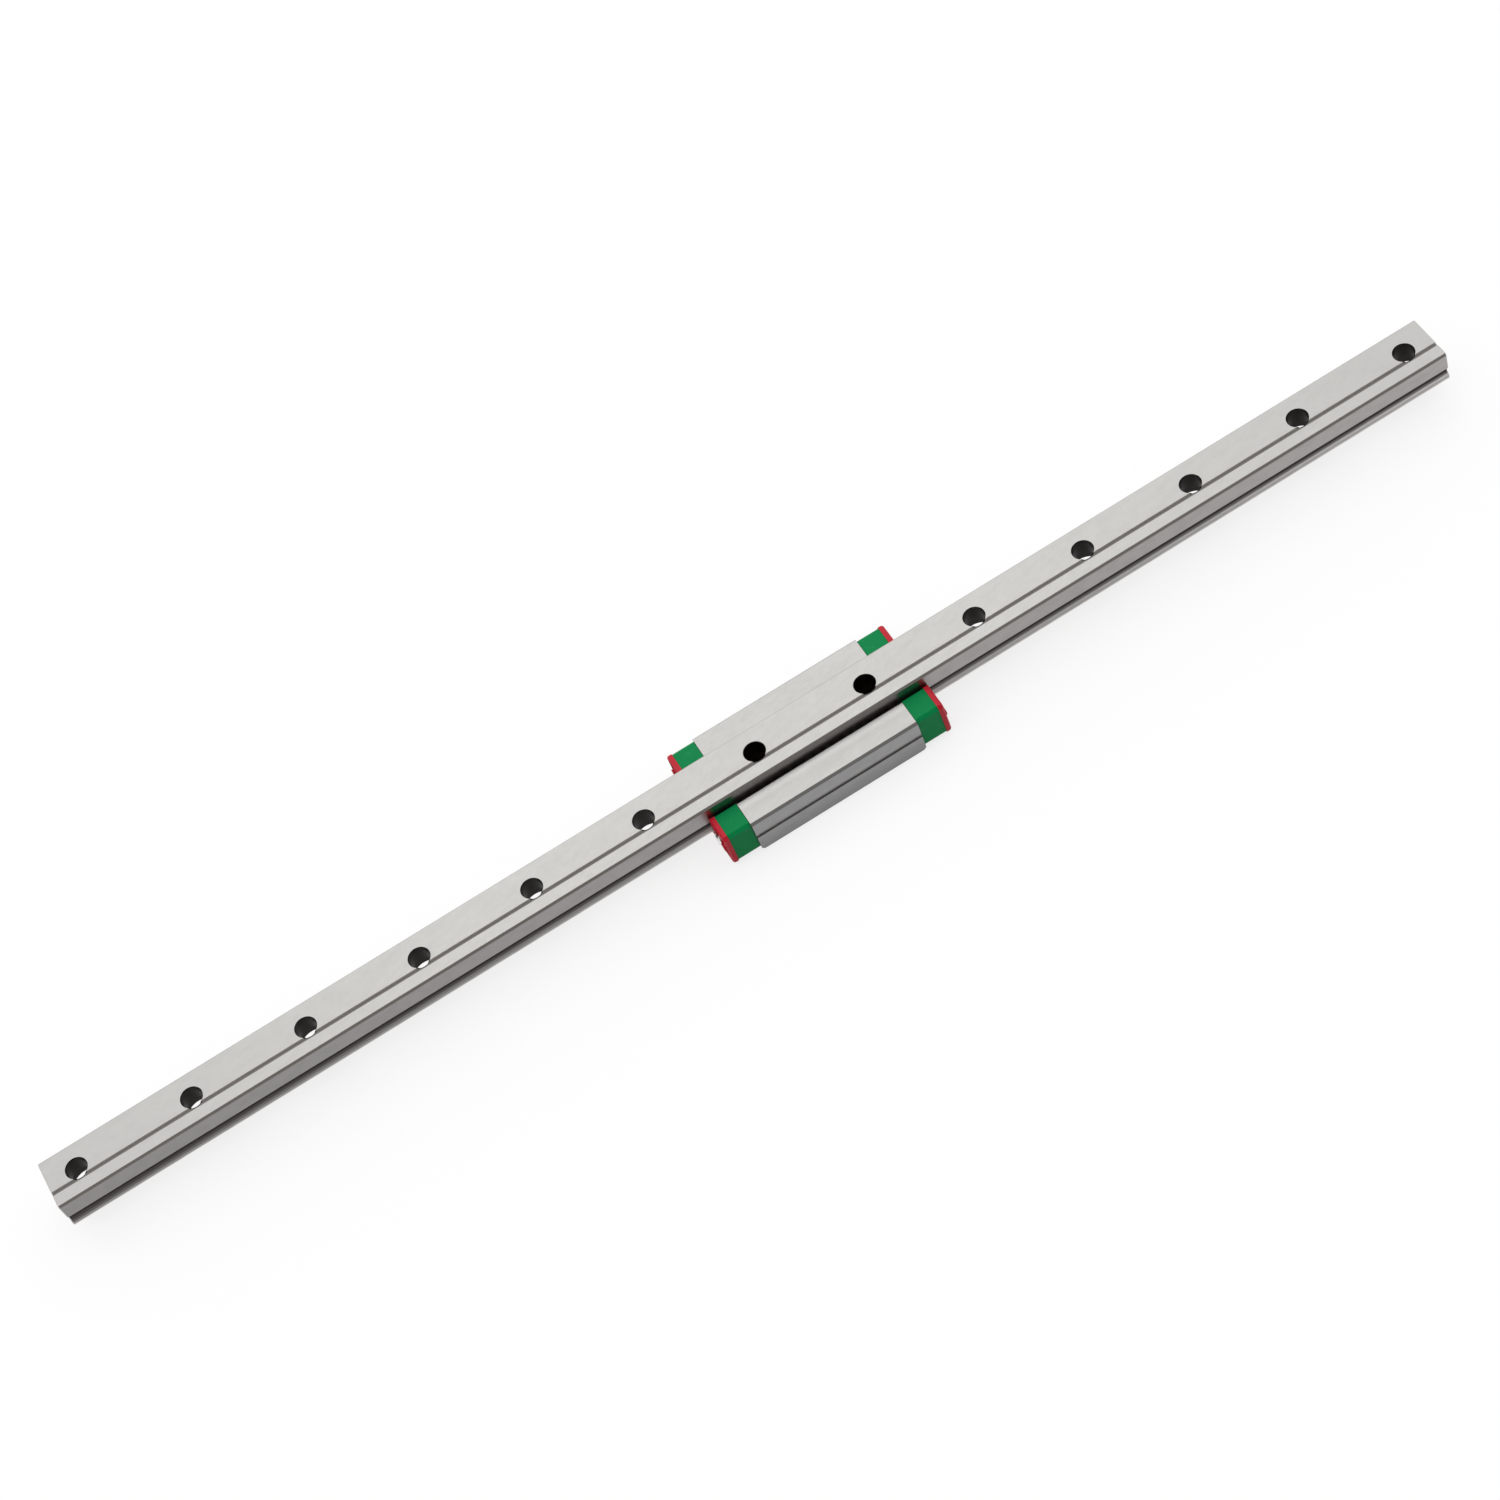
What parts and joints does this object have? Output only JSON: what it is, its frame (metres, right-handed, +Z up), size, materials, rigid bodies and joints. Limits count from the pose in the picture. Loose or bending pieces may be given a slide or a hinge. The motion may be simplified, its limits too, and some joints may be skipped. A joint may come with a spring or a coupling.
{
  "type": "linear guide rail with block",
  "caption": "Miniature ball-bearing linear guide: a ground steel rail with a row of counterbored holes and a long four-hole carriage with plastic end caps and seals.",
  "frame": {"origin": "on the surface that the carriage's mounting face lies on, under the middle of the rail's length and width", "axes": "+X along the rail, +Y across it, +Z up, from the carriage's mounting face to the rail's underside: the guide lies upside down"},
  "size_m": [0.25, 0.02, 0.01],
  "materials": {
    "rail_steel": "fine ground bearing steel",
    "body_steel": "fine ground bearing steel",
    "cap_plastic": "green moulded plastic",
    "seal_plastic": "red moulded plastic",
    "screw_steel": "bright plated screws",
    "ball_steel": "polished bearing balls"
  },
  "bodies": {
    "guide_rail": {"rail": "rail_steel"},
    "carriage": {"carriage_body": "body_steel", "end_cap_left": "cap_plastic", "end_cap_right": "cap_plastic", "end_seal_left": "seal_plastic", "end_seal_right": "seal_plastic", "ball_circuit_near": "ball_steel", "ball_circuit_far": "ball_steel"}
  },
  "joints": [
    {"name": "carriage_slide", "type": "slide", "parent": "guide_rail", "child": "carriage", "axis": [1, 0, 0], "range_m": [-0.1129, 0.0963]}
  ]
}
